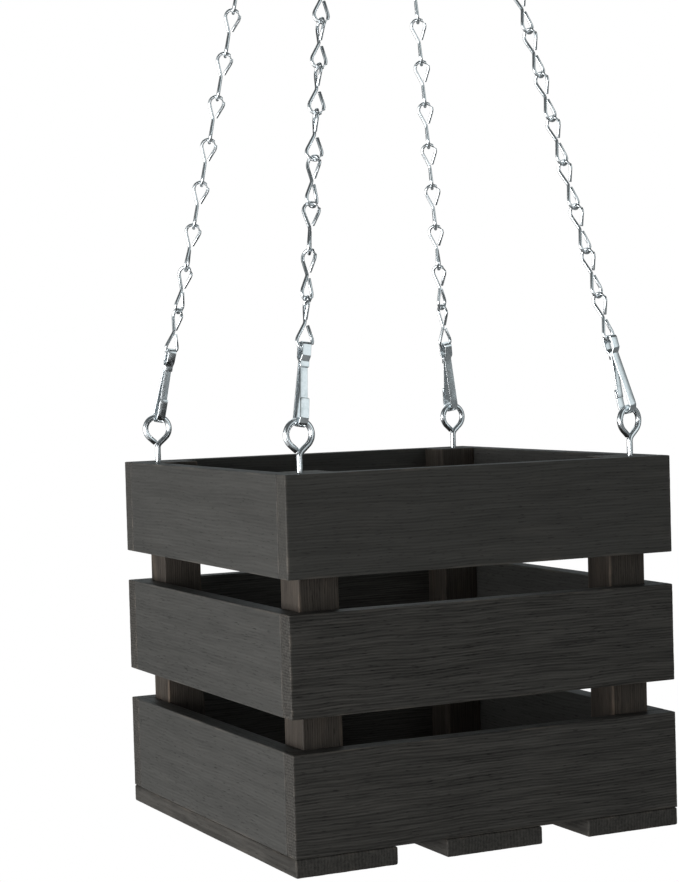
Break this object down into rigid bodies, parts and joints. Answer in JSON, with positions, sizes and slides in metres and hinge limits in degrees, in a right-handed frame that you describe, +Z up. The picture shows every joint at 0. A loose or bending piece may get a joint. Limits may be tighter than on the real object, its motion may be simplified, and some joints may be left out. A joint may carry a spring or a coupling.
{
  "type": "hanging basket",
  "caption": "Square slatted wooden crate basket with open floor, hung by corner screw eyes, snap clips and jack chains from a ring and an S hook.",
  "frame": {"origin": "the point at the top inside of the S hook's mouth, which rests on whatever the basket hangs from", "axes": "+Z up along the line of pull, -Y towards the front face, whose boards run the full width, -X towards the left face"},
  "size_m": [0.2032, 0.2032, 0.7705],
  "materials": {
    "stained_wood": "black stain with fine grain ridges, satin",
    "brad_steel": "steel pins, heads stained over with the wood",
    "zinc_wire": "bright zinc plated wire",
    "zinc_strip": "bright zinc plated spring strip"
  },
  "bodies": {
    "hook": {"s_hook": "zinc_wire"},
    "ring": {"hanging_ring": "zinc_wire"},
    "basket": {"front_board_bottom": "stained_wood", "front_board_middle": "stained_wood", "front_board_top": "stained_wood", "back_board_bottom": "stained_wood", "back_board_middle": "stained_wood", "back_board_top": "stained_wood", "left_board_bottom": "stained_wood", "left_board_middle": "stained_wood", "left_board_top": "stained_wood", "right_board_bottom": "stained_wood", "right_board_middle": "stained_wood", "right_board_top": "stained_wood", "floor_slat_left": "stained_wood", "floor_slat_middle": "stained_wood", "floor_slat_right": "stained_wood", "corner_post_front_left": "stained_wood", "corner_post_front_right": "stained_wood", "corner_post_back_left": "stained_wood", "corner_post_back_right": "stained_wood", "brads_front": "brad_steel", "brads_back": "brad_steel", "brads_left": "brad_steel", "brads_right": "brad_steel", "brads_floor": "brad_steel", "screw_eye_front_left": "zinc_wire", "screw_eye_front_right": "zinc_wire", "screw_eye_back_left": "zinc_wire", "screw_eye_back_right": "zinc_wire", "clip_body_front_left": "zinc_strip", "clip_body_front_right": "zinc_strip", "clip_body_back_left": "zinc_strip", "clip_body_back_right": "zinc_strip", "chain_front_left": "zinc_wire", "chain_front_right": "zinc_wire", "chain_back_left": "zinc_wire", "chain_back_right": "zinc_wire"},
    "gate_front_left": {"clip_gate_front_left": "zinc_strip"},
    "gate_front_right": {"clip_gate_front_right": "zinc_strip"},
    "gate_back_left": {"clip_gate_back_left": "zinc_strip"},
    "gate_back_right": {"clip_gate_back_right": "zinc_strip"}
  },
  "joints": [
    {"name": "ring_swing", "type": "hinge", "parent": "hook", "child": "ring", "pos_m": [0, 0, -0.03225], "axis": [0, 1, 0], "range_deg": [-45, 45]},
    {"name": "basket_swing", "type": "hinge", "parent": "ring", "child": "basket", "pos_m": [0, 0, -0.0588], "axis": [1, 0, 0], "range_deg": [-45, 45]},
    {"name": "gate_open_front_left", "type": "hinge", "parent": "basket", "child": "gate_front_left", "pos_m": [-0.08241, -0.08351, -0.53839], "axis": [0.9866, -0.0279, -0.1609], "range_deg": [0, 12], "stiffness_Nm_per_rad": 0.1},
    {"name": "gate_open_front_right", "type": "hinge", "parent": "basket", "child": "gate_front_right", "pos_m": [0.08262, -0.08328, -0.53844], "axis": [-0.9652, -0.2309, -0.1225], "range_deg": [0, 12], "stiffness_Nm_per_rad": 0.1},
    {"name": "gate_open_back_left", "type": "hinge", "parent": "basket", "child": "gate_back_left", "pos_m": [-0.08249, 0.083, -0.53845], "axis": [0.9819, -0.0761, -0.1734], "range_deg": [0, 12], "stiffness_Nm_per_rad": 0.1},
    {"name": "gate_open_back_right", "type": "hinge", "parent": "basket", "child": "gate_back_right", "pos_m": [0.08248, 0.08343, -0.53838], "axis": [-0.9849, -0.0417, -0.168], "range_deg": [0, 12], "stiffness_Nm_per_rad": 0.1}
  ]
}
